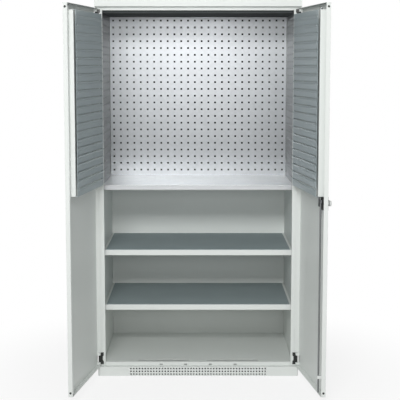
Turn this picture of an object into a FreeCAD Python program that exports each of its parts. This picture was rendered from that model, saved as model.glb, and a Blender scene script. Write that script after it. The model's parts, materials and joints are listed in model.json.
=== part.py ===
"""Steel materials cabinet with two hinged doors, louvred door panels, a perforated upper bay and shelves below.

Frame: origin on the floor at the middle of the plinth's front foot, x to the viewer's right, y to the back,
z up.
Millimetres and degrees throughout. Every size is in the sheet; places are sums of those sizes.
"""
import FreeCAD, Part
import os
import re
import Sketcher

doc = FreeCAD.newDocument("materials_cabinet")
sheet = doc.addObject("Spreadsheet::Sheet", "Sizes")

SIZES = {
    "overall_width": 1050,
    "overall_depth": 600,
    "overall_height": 1950,
    "carcass_sheet": 1.2,
    "bend_radius": 2.4,
    "plinth_height": 50,
    "plinth_corner": 8,
    "plinth_front_flange": 45,
    "plinth_side_flange": 38,
    "plinth_rear_flange": 30,
    "plinth_foot_flange": 20,
    "grille_width": 712,
    "grille_slots": 6,
    "grille_rows": 3,
    "grille_row_pitch": 14.5,
    "grille_opening": 9,
    "grille_bar": 6,
    "hood_height": 32,
    "hood_return": 12,
    "strip_height": 18,
    "strip_flange": 31,
    "jamb_width": 38,
    "jamb_return": 15,
    "rear_flange": 20,
    "wall_depth": 30,
    "floor_edge": 19,
    "floor_notch": 16.5,
    "floor_side_gap": 0.5,
    "floor_slot_width": 16,
    "floor_slot_height": 5,
    "floor_slot_pitch": 130,
    "floor_slot_rise": 3,
    "vent_start": 46,
    "vent_length": 270,
    "vent_width": 25,
    "vent_setback": 15,
    "upright_width": 30,
    "upright_lip": 8,
    "upright_setback": 24,
    "upright_rear_setback": 100,
    "roof_drop": 61,
    "roof_setback": 28,
    "middle_height": 1001,
    "middle_edge": 24,
    "shelf_setback": 45,
    "shelf_edge": 28,
    "shelf_side_gap": 0.6,
    "upper_height": 659,
    "lower_height": 366,
    "mat_thickness": 2.5,
    "mat_inset": 12,
    "clip_width": 20,
    "clip_tongue": 12,
    "clip_leg": 22,
    "clip_sheet": 2,
    "clip_setback": 60,
    "hole_pitch": 38,
    "hole_size": 10,
    "panel_rows": 23,
    "panel_columns": 11,
    "strip_columns": 2,
    "panel_sheet": 1.25,
    "panel_back": 60,
    "panel_foot_gap": 13.5,
    "side_panel_gap": 4,
    "panel_rail_height": 32,
    "panel_rail_margin": 24,
    "panel_rail_lip": 12,
    "door_depth": 22,
    "door_back_gap": 3.2,
    "door_foot_gap": 3,
    "door_head_gap": 8,
    "meeting_gap": 3,
    "pin_edge": 7,
    "pin_inset": 8,
    "left_opening": 99.5,
    "right_opening": 98.5,
    "hinge_length": 63,
    "hinge_end_gap": 4,
    "hinge_notch_gap": 1,
    "pin_radius": 2.5,
    "pin_fit": 0.05,
    "knuckle_radius": 5,
    "lug_length": 13,
    "lug_gap": 0.3,
    "bracket_start": 5.5,
    "bracket_end": 21,
    "bracket_waist": 5,
    "bracket_sheet": 3,
    "bracket_ear": 16,
    "louvre_start": 40,
    "louvre_width": 456,
    "louvre_gap": 13,
    "louvre_rows": 22,
    "louvre_margin": 14,
    "louvre_face": 42,
    "louvre_fold": 12,
    "louvre_lip": 7,
    "louvre_rise": 12,
    "louvre_slot": 13,
    "louvre_side": 9,
    "wide_rail": 20,
    "narrow_rail": 12,
    "meeting_back_gap": 0.3,
    "meeting_reach": 8,
    "meeting_width": 21.5,
    "meeting_end_gap": 4,
    "lock_place": 490,
    "lock_gap": 2,
    "lock_hole": 22,
    "case_width": 36,
    "case_height": 60,
    "case_rise": 12,
    "lock_plate_width": 34,
    "lock_plate_height": 64,
    "lock_plate_sheet": 3,
    "grip_length": 54,
    "grip_height": 26,
    "grip_depth": 10,
    "grip_end_flat": 2.4,
    "hub_radius": 12,
    "hub_depth": 4,
    "spindle_radius": 5,
    "cylinder_radius": 7,
    "cylinder_depth": 11.5,
    "cylinder_head": 0.8,
    "key_slot_width": 2,
    "key_slot_length": 8,
    "key_slot_depth": 5,
    "turning_gap": 0.4,
    "cam_reach": 19,
    "cam_width": 13,
    "cam_sheet": 3,
    "crank_radius": 14,
    "crank_pin_radius": 3,
    "crank_pin_length": 7,
    "crank_play": 0.7,
    "yoke_rim": 3,
    "yoke_depth": 6,
    "rod_radius": 4,
    "rod_place": 20,
    "rod_head_gap": 11,
    "rod_foot_gap": 6,
    "rod_hole_gap": 1.5,
    "guide_half": 7,
    "guide_length": 14,
    "guide_rim": 2,
    "upper_guide_drop": 70,
    "lower_guide_rise": 90,
}

for row, (alias, size) in enumerate(SIZES.items(), start=1):
    sheet.set(f"A{row}", alias.replace("_", " "))
    sheet.set(f"B{row}", str(size))
    sheet.setAlias(f"B{row}", alias)
doc.recompute()

LEFT = -1
RIGHT = 1
AXES = {"plan": "XY_Plane", "front": "XZ_Plane", "side": "YZ_Plane"}
UPRIGHT_AXIS = FreeCAD.Vector(0, 0, 1)
QUARTER_TURN = 90
LINE_START = 1
LINE_END = 2
CIRCLE_CENTRE = 3
DRAWING_ORIGIN = -1
LEVEL_AXIS = -1
UPRIGHT_LINE = -2
EDGE_SLACK = 1e-4

# Places shared by many pieces, written as sums of sheet sizes.
HALF = "(overall_width / 2)"
FRONT = "(-plinth_foot_flange / 2)"
BACK = "(overall_depth - plinth_foot_flange / 2)"
JAMB = f"({FRONT} + door_depth + door_back_gap)"
SKIN_HALF = f"({HALF} - carcass_sheet)"
BACK_FACE = f"({BACK} - 2 * carcass_sheet)"
HOOD_FOOT = "(overall_height - hood_height)"
OPEN_HALF = f"({HALF} - jamb_width)"
LINER_HALF = f"({HALF} - wall_depth)"
LINER_BACK = f"({LINER_HALF} + carcass_sheet)"
FLOOR_TOP = "(plinth_height + floor_edge)"
ROOF = "(overall_height - roof_drop)"
SHELF_FRONT = f"({JAMB} + shelf_setback)"
PANEL_FACE = f"({BACK} - panel_back)"
PANEL_REAR = f"({PANEL_FACE} + panel_sheet)"
PANEL_TALL = "(panel_rows * hole_pitch)"
PANEL_FOOT = "(middle_height + panel_foot_gap)"
PANEL_HEAD = f"({PANEL_FOOT} + {PANEL_TALL})"
DOOR_FOOT = "(plinth_height + door_foot_gap)"
DOOR_HEAD = f"({HOOD_FOOT} - door_head_gap)"
PIN_X = f"({HALF} - pin_edge)"
PIN_Y = f"({JAMB} - door_back_gap - pin_inset)"
DOOR_EDGE = f"({PIN_X} - meeting_gap / 2)"
DOOR_OUTSIDE = "(pin_inset - door_depth)"
DOOR_SKIN = f"({DOOR_OUTSIDE} + carcass_sheet)"
LOUVRE_FOOT = "(middle_height + louvre_gap)"
LOUVRE_TALL = "(louvre_rows * hole_pitch + 2 * louvre_margin)"
LOUVRE_BACK = "(louvre_face - louvre_fold)"
LOCK_Z = f"({LOUVRE_FOOT} - lock_gap - case_height / 2)"
CRANK_HEIGHT = "(crank_radius * sqrt(2) / 2)"


def bound(text):
    """Turn the names in a sum into the sheet's cells."""
    return re.sub(r"[a-z]+(?:_[a-z]+)+", lambda found: "Sizes." + found.group(0), text)


def number(text):
    """Work a sum of sheet sizes out."""
    return float(sheet.evalExpression(bound(text)))


def times(side, text):
    """Carry a place across to one side."""
    return f"({side} * ({text}))"


def across(side, low, high):
    """Start and end of a span that runs along x on one side, the smaller first."""
    if side > 0:
        return low, high
    return f"(-({high}))", f"(-({low}))"


def rectangle(low_x, low_y, high_x, high_y):
    return [(low_x, low_y), (high_x, low_y), (high_x, high_y), (low_x, high_y)]


def mirrored(side, points):
    return [(times(side, x), y) for x, y in points]


def piece(label):
    body = doc.addObject("PartDesign::Body", label)
    body.Label = label
    return body


def role(body, name):
    return [feature for feature in body.Origin.OriginFeatures if feature.Role == name][0]


def tie(drawing, kind, line, end, text, value):
    """Hold one coordinate of a point to the sheet."""
    if text == "0":
        axis = UPRIGHT_LINE if kind == "DistanceX" else LEVEL_AXIS
        drawing.addConstraint(Sketcher.Constraint("PointOnObject", line, end, axis))
        return
    held = Sketcher.Constraint(kind, DRAWING_ORIGIN, LINE_START, line, end, value)
    index = drawing.addConstraint(held)
    drawing.setExpression(f"Constraints[{index}]", bound(text))


def outline(body, view, place, loops):
    """Closed outlines on one of the body's planes, each corner held to the sheet."""
    drawing = body.newObject("Sketcher::SketchObject", body.Label + "_outline")
    drawing.AttachmentSupport = (role(body, AXES[view]), [""])
    drawing.MapMode = "FlatFace"
    toward = "-" if view == "front" else ""
    drawing.setExpression("AttachmentOffset.Base.z", bound(f"{toward}({place})"))
    for loop in loops:
        first = drawing.GeometryCount
        if loop[0] == "circle":
            x, y, radius = loop[1:]
            centre = FreeCAD.Vector(number(x), number(y), 0)
            drawing.addGeometry(Part.Circle(centre, UPRIGHT_AXIS, number(radius)), False)
            tie(drawing, "DistanceX", first, CIRCLE_CENTRE, x, centre.x)
            tie(drawing, "DistanceY", first, CIRCLE_CENTRE, y, centre.y)
            index = drawing.addConstraint(Sketcher.Constraint("Radius", first, number(radius)))
            drawing.setExpression(f"Constraints[{index}]", bound(radius))
            continue
        corners = [FreeCAD.Vector(number(x), number(y), 0) for x, y in loop]
        count = len(corners)
        for step in range(count):
            drawing.addGeometry(Part.LineSegment(corners[step], corners[(step + 1) % count]), False)
        joined = []
        for step in range(count):
            after = first + (step + 1) % count
            joined.append(Sketcher.Constraint("Coincident", first + step, LINE_END, after, LINE_START))
        drawing.addConstraint(joined)
        for step, (x, y) in enumerate(loop):
            tie(drawing, "DistanceX", first + step, LINE_START, x, corners[step].x)
            tie(drawing, "DistanceY", first + step, LINE_START, y, corners[step].y)
    return drawing


def slab(body, view, start, end, *loops):
    """Add material from start to end along the axis the view looks along."""
    pad = body.newObject("PartDesign::Pad", body.Label + "_pad")
    pad.Profile = outline(body, view, start, loops)
    pad.setExpression("Length", bound(f"({end}) - ({start})"))
    pad.Reversed = view == "front"
    body.Tip = pad
    return pad


def cut(body, view, start, end, *loops):
    """Take material away from start to end along the axis the view looks along."""
    doc.recompute()
    before = body.Shape.Volume
    pocket = body.newObject("PartDesign::Pocket", body.Label + "_pocket")
    pocket.Profile = outline(body, view, start, loops)
    pocket.setExpression("Length", bound(f"({end}) - ({start})"))
    pocket.Reversed = view != "front"
    body.Tip = pocket
    doc.recompute()
    if not body.Shape.Volume < before:
        raise RuntimeError(body.Label + " lost nothing to a cut")
    return pocket


def repeat(body, feature, axis, length, count):
    pattern = body.newObject("PartDesign::LinearPattern", body.Label + "_row")
    pattern.Originals = [feature]
    pattern.Direction = (role(body, axis), [""])
    pattern.setExpression("Length", bound(length))
    pattern.setExpression("Occurrences", bound(count))
    body.Tip = pattern
    return pattern


def rounded(body, radius, chosen):
    """Round the straight edges whose middle and direction the test picks."""
    doc.recompute()
    base = body.Tip
    names = []
    for index, edge in enumerate(base.Shape.Edges, start=1):
        if edge.Curve.TypeId != "Part::GeomLine":
            continue
        middle = edge.CenterOfMass
        along = edge.tangentAt(edge.FirstParameter)
        if chosen(middle, along):
            names.append(f"Edge{index}")
    fillet = body.newObject("PartDesign::Fillet", body.Label + "_round")
    fillet.Base = (base, names)
    fillet.setExpression("Radius", bound(radius))
    body.Tip = fillet
    return fillet


def at(value, text):
    return abs(value - number(text)) < EDGE_SLACK


def either(value, text):
    """The same place on the left or on the right."""
    return abs(abs(value) - abs(number(text))) < EDGE_SLACK


def upright_edge(x, y):
    """Edges that stand upright at one place in plan, on either side."""
    return lambda middle, along: abs(along.z) > 1 - EDGE_SLACK and either(middle.x, x) and at(middle.y, y)


def hang(body, side):
    """Set a piece drawn in a door's own frame on that door's pin, standing open."""
    body.Placement = FreeCAD.Placement(FreeCAD.Vector(), FreeCAD.Rotation(UPRIGHT_AXIS, QUARTER_TURN))
    body.setExpression("Placement.Base.x", bound(times(side, PIN_X)))
    body.setExpression("Placement.Base.y", bound(PIN_Y))
    turned = "right_opening" if side == RIGHT else "-left_opening"
    body.setExpression("Placement.Rotation.Angle", bound(turned))
    return body


# Plinth: front and rear channels with corner returns, side channels between them.
def plinth_end(label, edge, inward, flange):
    body = piece(label)

    def depth(text):
        return f"({edge} {inward} ({text}))"

    slab(body, "plan", "0", "plinth_height", [
        (f"-{HALF}", depth(flange)), (f"-{HALF}", edge), (HALF, edge), (HALF, depth(flange)),
        (SKIN_HALF, depth(flange)), (SKIN_HALF, depth("carcass_sheet")),
        (f"-{SKIN_HALF}", depth("carcass_sheet")), (f"-{SKIN_HALF}", depth(flange))])
    rounded(body, "plinth_corner", upright_edge(HALF, edge))
    rounded(body, "plinth_corner - carcass_sheet", upright_edge(SKIN_HALF, depth("carcass_sheet")))
    corner = f"({HALF} - plinth_corner)"
    slab(body, "plan", "plinth_height - carcass_sheet", "plinth_height", [
        (f"-{corner}", depth("carcass_sheet")), (corner, depth("carcass_sheet")),
        (SKIN_HALF, depth("plinth_corner")), (SKIN_HALF, depth(flange)),
        (f"-{SKIN_HALF}", depth(flange)), (f"-{SKIN_HALF}", depth("plinth_corner"))])
    slab(body, "plan", "0", "carcass_sheet", rectangle(
        f"-{corner}", depth("carcass_sheet"), corner, depth("plinth_foot_flange")))
    return body


plinth_front = plinth_end("plinth_front", FRONT, "+", "plinth_front_flange")
GRILLE_PITCH = "(grille_width / grille_slots)"
slot_low = "(plinth_height / 2 - grille_row_pitch - grille_opening / 2)"
slots = []
for grille_row in range(int(number("grille_rows"))):
    low = f"({slot_low} + {grille_row} * grille_row_pitch)"
    slots.append(rectangle("-grille_width / 2", low, f"(-grille_width / 2 + {GRILLE_PITCH} - grille_bar)",
                           f"({low} + grille_opening)"))
grille = cut(plinth_front, "front", f"({FRONT} - carcass_sheet)", f"({FRONT} + 2 * carcass_sheet)", *slots)
repeat(plinth_front, grille, "X_Axis", f"grille_width - {GRILLE_PITCH}", "grille_slots")
plinth_end("plinth_rear", BACK, "-", "plinth_rear_flange")

for side, name in ((LEFT, "left"), (RIGHT, "right")):
    body = piece(f"plinth_{name}")
    inner_edge = f"({HALF} - plinth_side_flange)"
    foot_edge = f"({HALF} - plinth_foot_flange)"
    slab(body, "front", f"{FRONT} + plinth_front_flange", f"{BACK} - plinth_rear_flange", mirrored(side, [
        (HALF, "0"), (HALF, "plinth_height"), (inner_edge, "plinth_height"),
        (inner_edge, "plinth_height - carcass_sheet"), (SKIN_HALF, "plinth_height - carcass_sheet"),
        (SKIN_HALF, "carcass_sheet"), (foot_edge, "carcass_sheet"), (foot_edge, "0")]))

# Carcass shell.
for side, name in ((LEFT, "left"), (RIGHT, "right")):
    body = piece(f"side_wall_{name}")
    jamb_inside = f"({OPEN_HALF} + carcass_sheet)"
    slab(body, "plan", "plinth_height", HOOD_FOOT, mirrored(side, [
        (HALF, JAMB), (OPEN_HALF, JAMB), (OPEN_HALF, f"({JAMB} + jamb_return)"),
        (jamb_inside, f"({JAMB} + jamb_return)"), (jamb_inside, f"({JAMB} + carcass_sheet)"),
        (SKIN_HALF, f"({JAMB} + carcass_sheet)"), (SKIN_HALF, f"({BACK} - carcass_sheet)"),
        (f"({HALF} - rear_flange)", f"({BACK} - carcass_sheet)"), (f"({HALF} - rear_flange)", BACK),
        (HALF, BACK)]))
    outer_bends = [upright_edge(HALF, JAMB), upright_edge(OPEN_HALF, JAMB), upright_edge(HALF, BACK)]
    rounded(body, "bend_radius", lambda middle, along: any(test(middle, along) for test in outer_bends))
    inner_bends = [upright_edge(SKIN_HALF, f"({JAMB} + carcass_sheet)"),
                   upright_edge(jamb_inside, f"({JAMB} + carcass_sheet)"),
                   upright_edge(SKIN_HALF, f"({BACK} - carcass_sheet)")]
    rounded(body, "bend_radius - carcass_sheet",
            lambda middle, along: any(test(middle, along) for test in inner_bends))

back_wall = piece("back_wall")
slab(back_wall, "front", BACK_FACE, f"{BACK} - carcass_sheet", rectangle(
    f"-({SKIN_HALF} - bend_radius)", "plinth_height", f"({SKIN_HALF} - bend_radius)", HOOD_FOOT))

hood = piece("top_hood")
hood_lip = f"({JAMB} + hood_return)"
slab(hood, "side", f"-{HALF}", HALF, [
    (BACK, HOOD_FOOT), (BACK, "overall_height"), (FRONT, "overall_height"), (FRONT, HOOD_FOOT),
    (hood_lip, HOOD_FOOT), (hood_lip, f"({HOOD_FOOT} + carcass_sheet)"),
    (f"({FRONT} + carcass_sheet)", f"({HOOD_FOOT} + carcass_sheet)"),
    (f"({FRONT} + carcass_sheet)", "(overall_height - carcass_sheet)"),
    (f"({BACK} - carcass_sheet)", "(overall_height - carcass_sheet)"), (f"({BACK} - carcass_sheet)", HOOD_FOOT)])
for side in (LEFT, RIGHT):
    slab(hood, "side", *across(side, SKIN_HALF, HALF), rectangle(FRONT, HOOD_FOOT, BACK, "overall_height"))
rounded(hood, "bend_radius", lambda middle, along: abs(along.x) > 1 - EDGE_SLACK and (
    at(middle.y, FRONT) or at(middle.z, "overall_height") and at(middle.y, BACK)))

head_strip = piece("head_strip")
slab(head_strip, "side", f"-{OPEN_HALF}", OPEN_HALF, [
    (JAMB, f"({HOOD_FOOT} - strip_height)"), (f"({JAMB} + carcass_sheet)", f"({HOOD_FOOT} - strip_height)"),
    (f"({JAMB} + carcass_sheet)", f"({HOOD_FOOT} - carcass_sheet)"),
    (f"({JAMB} + strip_flange)", f"({HOOD_FOOT} - carcass_sheet)"),
    (f"({JAMB} + strip_flange)", HOOD_FOOT), (JAMB, HOOD_FOOT)])

roof_liner = piece("roof_liner")
roof_front = f"({JAMB} + roof_setback)"
slab(roof_liner, "side", f"-({SKIN_HALF} - shelf_side_gap)", f"({SKIN_HALF} - shelf_side_gap)", [
    (roof_front, ROOF), (BACK_FACE, ROOF), (BACK_FACE, f"({ROOF} + carcass_sheet)"),
    (f"({roof_front} + carcass_sheet)", f"({ROOF} + carcass_sheet)"),
    (f"({roof_front} + carcass_sheet)", f"({HOOD_FOOT} - carcass_sheet)"),
    (roof_front, f"({HOOD_FOOT} - carcass_sheet)")])


# Floor: a folded tray notched round the jambs, with two long vent slots, small slots along the foot of its front
# fold and the hole the lower rod drops into.
def floor_outline(inset):
    front = f"({JAMB} + {inset})"
    step = f"({JAMB} + floor_notch + {inset})"
    rear = f"({BACK_FACE} - {inset})"
    narrow = f"({OPEN_HALF} - floor_side_gap - {inset})"
    wide = f"({LINER_HALF} - floor_side_gap - {inset})"
    right_side = [(narrow, front), (narrow, step), (wide, step), (wide, rear)]
    left_side = [(f"-{x}", y) for x, y in reversed(right_side)]
    return right_side + left_side


floor_panel = piece("floor_panel")
slab(floor_panel, "plan", "plinth_height", FLOOR_TOP, floor_outline("0"))
cut(floor_panel, "plan", "plinth_height - carcass_sheet", f"{FLOOR_TOP} - carcass_sheet",
    floor_outline("carcass_sheet"))
vent_front = f"({JAMB} + vent_setback)"
vents = [rectangle("vent_start", vent_front, "(vent_start + vent_length)", f"({vent_front} + vent_width)"),
         rectangle("(-vent_start - vent_length)", vent_front, "-vent_start", f"({vent_front} + vent_width)")]
LOWER_ROD = "(lock_place + crank_radius)"
UPPER_ROD = "(lock_place - crank_radius)"
rod_hole = ("circle", f"({PIN_X} - {LOWER_ROD})", f"({PIN_Y} + rod_place)", "(rod_radius + rod_hole_gap)")
cut(floor_panel, "plan", f"{FLOOR_TOP} - 2 * carcass_sheet", f"{FLOOR_TOP} + carcass_sheet", *vents, rod_hole)
FOLD_SLOT_SHARES = (-1.5, -0.5, 0.5, 1.5)
fold_slots = []
for share in FOLD_SLOT_SHARES:
    slot_start = f"({share} * floor_slot_pitch - floor_slot_width / 2)"
    fold_slots.append(rectangle(slot_start, "(plinth_height + floor_slot_rise)", f"({slot_start} + floor_slot_width)",
                                "(plinth_height + floor_slot_rise + floor_slot_height)"))
cut(floor_panel, "front", f"{JAMB} - carcass_sheet", f"{JAMB} + 2 * carcass_sheet", *fold_slots)

# Uprights between each side wall and its lining, and the lower linings.
UPRIGHT_PLACES = {"front": f"({JAMB} + upright_setback)", "rear": f"({BACK} - upright_rear_setback)"}
for side, name in ((LEFT, "left"), (RIGHT, "right")):
    for end, start_y in UPRIGHT_PLACES.items():
        body = piece(f"upright_{end}_{name}")
        end_y = f"({start_y} + upright_width)"
        lip_start = f"({start_y} + upright_lip)"
        lip_end = f"({end_y} - upright_lip)"
        outer = f"({SKIN_HALF} - carcass_sheet)"
        inner = f"({LINER_BACK} + carcass_sheet)"
        slab(body, "plan", "plinth_height", ROOF, mirrored(side, [
            (SKIN_HALF, lip_start), (SKIN_HALF, start_y), (LINER_BACK, start_y), (LINER_BACK, end_y),
            (SKIN_HALF, end_y), (SKIN_HALF, lip_end), (outer, lip_end), (outer, f"({end_y} - carcass_sheet)"),
            (inner, f"({end_y} - carcass_sheet)"), (inner, f"({start_y} + carcass_sheet)"),
            (outer, f"({start_y} + carcass_sheet)"), (outer, lip_start)]))
    lining = piece(f"lower_lining_{name}")
    lining_front = f"({JAMB} + floor_notch)"
    slab(lining, "side", *across(side, LINER_HALF, LINER_BACK), rectangle(
        lining_front, "plinth_height", BACK_FACE, "(middle_height - middle_edge)"))


# Shelves: folded trays open below.
def tray(label, half, front, rear, top, edge):
    body = piece(label)
    slab(body, "plan", f"{top} - {edge}", top, rectangle(f"-{half}", front, half, rear))
    cut(body, "plan", f"{top} - 2 * {edge}", f"{top} - carcass_sheet", rectangle(
        f"(-{half} + carcass_sheet)", f"({front} + carcass_sheet)",
        f"({half} - carcass_sheet)", f"({rear} - carcass_sheet)"))
    rounded(body, "carcass_sheet / 2", lambda middle, along: (
        abs(along.x) > 1 - EDGE_SLACK and at(middle.y, front) and at(middle.z, top)))
    return body


tray("middle_shelf", LINER_BACK, SHELF_FRONT, BACK_FACE, "middle_height", "middle_edge")
SHELF_HALF = f"({LINER_HALF} - shelf_side_gap)"
for name in ("upper", "lower"):
    top = f"{name}_height"
    tray(f"{name}_shelf", SHELF_HALF, SHELF_FRONT, f"({BACK_FACE} - shelf_side_gap)", top, "shelf_edge")
    mat = piece(f"{name}_mat")
    slab(mat, "plan", top, f"{top} + mat_thickness", rectangle(
        f"(-{SHELF_HALF} + mat_inset)", f"({SHELF_FRONT} + carcass_sheet)",
        f"({SHELF_HALF} - mat_inset)", f"({BACK_FACE} - mat_inset)"))
    clips = piece(f"{name}_shelf_clips")
    seat = f"({top} - shelf_edge)"
    for side in (LEFT, RIGHT):
        for clip_front in (f"({SHELF_FRONT} + clip_setback)", f"({BACK_FACE} - clip_setback - clip_width)"):
            slab(clips, "front", clip_front, f"({clip_front} + clip_width)", mirrored(side, [
                (LINER_HALF, seat), (f"({LINER_HALF} - clip_tongue)", seat),
                (f"({LINER_HALF} - clip_tongue)", f"({seat} - clip_sheet)"),
                (f"({LINER_HALF} - clip_sheet)", f"({seat} - clip_sheet)"),
                (f"({LINER_HALF} - clip_sheet)", f"({seat} - clip_leg)"), (LINER_HALF, f"({seat} - clip_leg)")]))


# Perforated lining of the upper bay: square holes on a square pitch.
def perforated(label, first_column, columns):
    pitch = number("hole_pitch")
    rows = int(number("panel_rows"))
    half_hole = number("hole_size") / 2
    wide = columns * pitch
    tall = number(PANEL_TALL)

    def loop(low_x, low_z, high_x, high_z):
        corners = [(low_x, low_z), (high_x, low_z), (high_x, high_z), (low_x, high_z), (low_x, low_z)]
        return [FreeCAD.Vector(x, 0, z) for x, z in corners]

    wires = [Part.makePolygon(loop(0, 0, wide, tall)[::-1])]
    for column in range(columns):
        for line in range(rows):
            x = pitch / 2 + column * pitch
            z = pitch / 2 + line * pitch
            wires.append(Part.makePolygon(loop(x - half_hole, z - half_hole, x + half_hole, z + half_hole)))
    panel = doc.addObject("Part::Feature", label)
    panel.Label = label
    panel.Shape = Part.Face(wires).extrude(FreeCAD.Vector(0, number("panel_sheet"), 0))
    panel.Placement = FreeCAD.Placement(
        FreeCAD.Vector(first_column * pitch, number(PANEL_FACE), number(PANEL_FOOT)), FreeCAD.Rotation())


panel_columns = int(number("panel_columns"))
perforated("perforated_back_left", -panel_columns, panel_columns)
perforated("perforated_back_right", 0, panel_columns)

for side, name in ((LEFT, "left"), (RIGHT, "right")):
    body = piece(f"perforated_strip_{name}")
    strip_low, strip_high = across(side, "(panel_columns * hole_pitch)",
                                   "((panel_columns + strip_columns) * hole_pitch)")
    slab(body, "front", PANEL_FACE, PANEL_REAR, rectangle(
        strip_low, PANEL_FOOT, strip_high, PANEL_HEAD))
    body = piece(f"perforated_side_{name}")
    slab(body, "side", *across(side, LINER_HALF, LINER_BACK), rectangle(
        f"({SHELF_FRONT} + side_panel_gap)", PANEL_FOOT, f"({PANEL_FACE} - side_panel_gap)", PANEL_HEAD))

for name, low in (("lower", f"({PANEL_FOOT} + panel_rail_margin)"),
                  ("upper", f"({PANEL_HEAD} - panel_rail_margin - panel_rail_height)")):
    body = piece(f"panel_rail_{name}")
    high = f"({low} + panel_rail_height)"
    rail_half = "((panel_columns + strip_columns) * hole_pitch)"
    web = f"({PANEL_REAR} + carcass_sheet)"
    slab(body, "side", f"-{rail_half}", rail_half, [
        (BACK_FACE, f"({low} - panel_rail_lip)"), (BACK_FACE, f"({low} + carcass_sheet)"),
        (web, f"({low} + carcass_sheet)"), (web, f"({high} - carcass_sheet)"),
        (BACK_FACE, f"({high} - carcass_sheet)"), (BACK_FACE, f"({high} + panel_rail_lip)"),
        (f"({BACK_FACE} - carcass_sheet)", f"({high} + panel_rail_lip)"), (f"({BACK_FACE} - carcass_sheet)", high),
        (PANEL_REAR, high), (PANEL_REAR, low), (f"({BACK_FACE} - carcass_sheet)", low),
        (f"({BACK_FACE} - carcass_sheet)", f"({low} - panel_rail_lip)")])

# Hinges: a bracket on the jamb, a fixed pin, and two lugs on the door round the bracket's knuckle.
LOWER_HINGE = f"({DOOR_FOOT} + hinge_end_gap)"
UPPER_HINGE = f"({DOOR_HEAD} - hinge_end_gap - hinge_length)"
HINGES = (LOWER_HINGE, UPPER_HINGE)
for side, name in ((LEFT, "left"), (RIGHT, "right")):
    brackets = piece(f"hinge_brackets_{name}")
    pins = piece(f"hinge_pins_{name}")
    lugs = hang(piece(f"hinge_lugs_{name}"), side)

    def from_pin(text):
        return times(side, f"{PIN_X} - ({text})")

    pin_x = times(side, PIN_X)
    for low in HINGES:
        high = f"({low} + hinge_length)"
        knuckle_low = f"({low} + lug_length + lug_gap)"
        knuckle_high = f"({high} - lug_length - lug_gap)"
        plate_front = f"({JAMB} - bracket_sheet)"
        waist = from_pin("bracket_end - bracket_waist")
        slab(brackets, "front", plate_front, JAMB, [
            (from_pin("bracket_start"), low), (from_pin("bracket_end"), low),
            (from_pin("bracket_end"), f"({low} + bracket_ear)"), (waist, f"({low} + bracket_ear + bracket_waist)"),
            (waist, f"({high} - bracket_ear - bracket_waist)"), (from_pin("bracket_end"), f"({high} - bracket_ear)"),
            (from_pin("bracket_end"), high), (from_pin("bracket_start"), high)])
        slab(brackets, "plan", knuckle_low, knuckle_high, [
            (from_pin("-knuckle_radius"), PIN_Y), (from_pin("knuckle_radius"), PIN_Y),
            (from_pin("bracket_start + bracket_sheet"), plate_front),
            (from_pin("bracket_start + bracket_sheet"), f"({JAMB} - bracket_sheet / 2)"),
            (from_pin("bracket_start"), f"({JAMB} - bracket_sheet / 2)"),
            (from_pin("-knuckle_radius"), f"({PIN_Y} + knuckle_radius)")])
        slab(brackets, "plan", knuckle_low, knuckle_high, ("circle", pin_x, PIN_Y, "knuckle_radius"))
        cut(brackets, "plan", low, high, ("circle", pin_x, PIN_Y, "pin_radius"))
        slab(pins, "plan", low, high, ("circle", pin_x, PIN_Y, "pin_radius"))
        for lug_low in (low, f"({high} - lug_length)"):
            lug_high = f"({lug_low} + lug_length)"
            slab(lugs, "plan", lug_low, lug_high, rectangle(
                "-knuckle_radius", DOOR_SKIN, "knuckle_radius", "knuckle_radius"),
                ("circle", "0", "0", "(pin_radius + pin_fit)"))

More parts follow.
